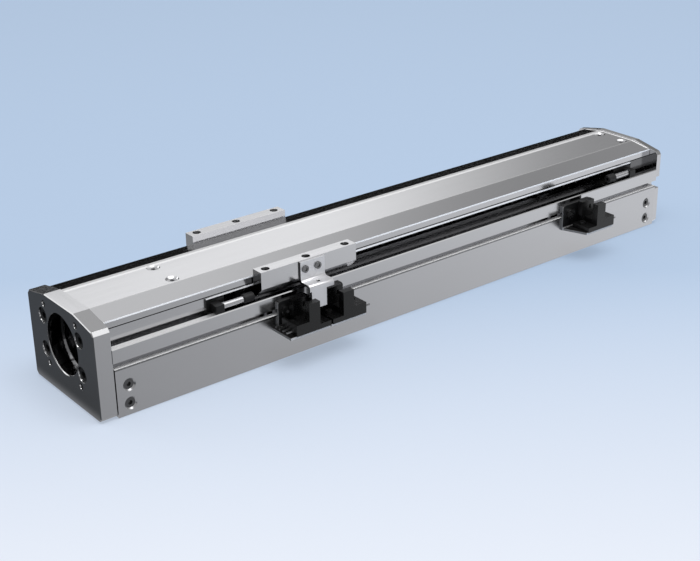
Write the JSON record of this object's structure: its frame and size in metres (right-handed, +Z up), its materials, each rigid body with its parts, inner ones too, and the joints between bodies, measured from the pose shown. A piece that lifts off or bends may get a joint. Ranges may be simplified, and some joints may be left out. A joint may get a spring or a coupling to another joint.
{
  "type": "linear positioner",
  "caption": "Covered ball screw linear positioner: U-shaped rail, winged carriage, end plates, bumpers and slotted sensors on a side rail.",
  "frame": {"origin": "centre of the rail's underside, half-way along the rail", "axes": "+X along the rail from the drive end to the support end, +Y to the left, away from the sensors, +Z up"},
  "size_m": [0.3575, 0.0757, 0.0465],
  "materials": {
    "rail_steel": "ground",
    "strip_steel": "hardened and ground",
    "side_plate": "satin anodised",
    "end_plate_metal": "satin anodised",
    "cover_metal": "satin anodised",
    "housing_metal": "satin anodised",
    "carriage_metal": "ground",
    "screw_steel": "rolled and polished",
    "bearing_steel": "ground",
    "ball_steel": "polished",
    "fastener_steel": "nickel plated",
    "black_steel": "black oxide",
    "stud_steel": "turned",
    "bumper_rubber": "moulded",
    "sensor_plastic": "moulded",
    "pin_metal": "tinned",
    "sheet_steel": "zinc plated",
    "cap_plastic": "moulded",
    "wiper_rubber": "moulded"
  },
  "bodies": {
    "base": {"base_rail": "rail_steel", "side_rail_right": "side_plate", "side_rail_left": "side_plate", "side_rail_screws": "fastener_steel", "guide_strip_right": "strip_steel", "guide_strip_left": "strip_steel", "drive_rail_clamps": "black_steel", "far_rail_clamps": "black_steel", "drive_end_plate": "end_plate_metal", "drive_plate_screws": "black_steel", "drive_bearing_housing": "housing_metal", "support_bearing_housing": "housing_metal", "housing_screws": "black_steel", "far_end_plate": "end_plate_metal", "far_plate_screws": "fastener_steel", "top_cover": "cover_metal", "cover_screws": "fastener_steel", "drive_bearing_outer_rings": "bearing_steel", "drive_bearing_balls": "ball_steel", "support_bearing_outer_ring": "bearing_steel", "support_bearing_balls": "ball_steel", "bearing_retainer_ring": "black_steel", "drive_stop_bar": "black_steel", "far_stop_bar": "black_steel", "stop_bar_screws": "black_steel", "drive_bumper_studs": "stud_steel", "far_bumper_studs": "stud_steel", "drive_bumpers": "bumper_rubber", "far_bumpers": "bumper_rubber", "home_sensor": "sensor_plastic", "drive_limit_sensor": "sensor_plastic", "far_limit_sensor": "sensor_plastic", "sensor_pins": "pin_metal", "home_sensor_bracket": "black_steel", "drive_limit_sensor_bracket": "black_steel", "far_limit_sensor_bracket": "black_steel", "bracket_screws": "black_steel", "slot_nuts": "fastener_steel", "sensor_screws": "black_steel"},
    "carriage": {"carriage_block": "carriage_metal", "ball_nut": "screw_steel", "end_cap_drive": "cap_plastic", "end_cap_far": "cap_plastic", "end_cap_screws": "fastener_steel", "wiper_drive": "wiper_rubber", "wiper_far": "wiper_rubber", "carriage_balls_right": "ball_steel", "carriage_balls_left": "ball_steel", "sensor_flag": "sheet_steel", "flag_screws": "black_steel"},
    "screw": {"ball_screw_shaft": "screw_steel", "drive_bearing_inner_rings": "bearing_steel", "support_bearing_inner_ring": "bearing_steel", "bearing_lock_nut": "black_steel", "support_circlip": "black_steel"}
  },
  "joints": [
    {"name": "carriage_slide", "type": "slide", "parent": "base", "child": "carriage", "axis": [1, 0, 0], "range_m": [-0.0022, 0.178]},
    {"name": "screw_turn", "type": "hinge", "parent": "base", "child": "screw", "pos_m": [0, 0, 0.0262], "axis": [1, 0, 0], "range_deg": [-80, 6480]}
  ],
  "couplings": [
    {"joint": "screw_turn", "follows": "carriage_slide", "rad_per_m": 628.32}
  ]
}
